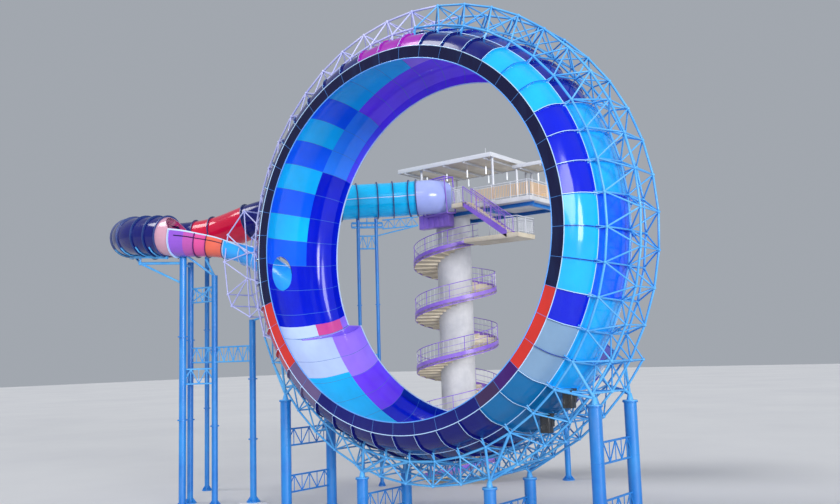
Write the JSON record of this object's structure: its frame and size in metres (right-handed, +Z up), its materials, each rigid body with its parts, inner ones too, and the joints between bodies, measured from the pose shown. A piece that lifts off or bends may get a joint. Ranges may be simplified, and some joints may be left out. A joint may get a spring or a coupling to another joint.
{
  "type": "water slide tower",
  "caption": "Water slide with a launch tower, a tube flume with a U-turn, and an upright ring channel carried by a round space truss on columns.",
  "frame": {"origin": "on the ground, at the middle of the bounding box of the whole ride", "axes": "+X to the right along the ring's face, +Y away from the viewer along the ring's axis towards the launch tower, +Z up"},
  "size_m": [37.9747, 23.0117, 26.4582],
  "materials": {
    "channel_shell": "glossy moulded shell panels in alternating blues, magenta and red",
    "channel_rim": "pale rim and panel flanges",
    "truss_paint": "semi-gloss pale sky blue paint",
    "column_paint": "semi-gloss blue paint",
    "flume_blue": "glossy moulded shell, light blue",
    "flume_navy": "glossy moulded shell, navy",
    "flume_lilac": "glossy moulded shell, lilac",
    "flange": "dark bolted flanges",
    "concrete": "smooth painted concrete",
    "stair_paint": "painted concrete stairs",
    "roof_panel": "coated sheet roof",
    "rail_paint": "painted rails and posts",
    "lamp_glass": "clear lamp glass"
  },
  "bodies": {
    "root": {"channel_1": "channel_shell", "channel_2": "channel_shell", "channel_3": "channel_shell", "channel_4": "channel_shell", "channel_5": "channel_shell", "channel_6": "channel_shell", "channel_7": "channel_shell", "channel_8": "channel_shell", "channel_9": "channel_shell", "truss_1": "truss_paint", "truss_2": "truss_paint", "truss_3": "truss_paint", "truss_4": "truss_paint", "truss_5": "truss_paint", "truss_6": "truss_paint", "truss_7": "truss_paint", "truss_8": "truss_paint", "truss_9": "truss_paint", "columns_right": "column_paint", "columns_mid_right": "column_paint", "columns_mid_left": "column_paint", "columns_left": "column_paint", "flume_rear_run": "flume_blue", "flume_turn": "flume_navy", "flume_open_run": "flume_lilac", "flume_entry": "flume_blue", "flume_tower": "column_paint", "tower_plinth": "concrete", "flume_turn_leg": "column_paint", "flume_rear_legs": "column_paint", "tower_core": "concrete", "stair_1": "stair_paint", "stair_2": "stair_paint", "stair_3": "stair_paint", "front_flight": "stair_paint", "launch_deck": "concrete", "launch_roof": "roof_panel", "roof_post_1": "rail_paint", "roof_post_2": "rail_paint", "roof_post_3": "rail_paint", "roof_post_4": "rail_paint", "side_roof": "roof_panel", "deck_beams": "column_paint", "deck_fascia": "roof_panel", "deck_column": "column_paint"}
  },
  "joints": []
}
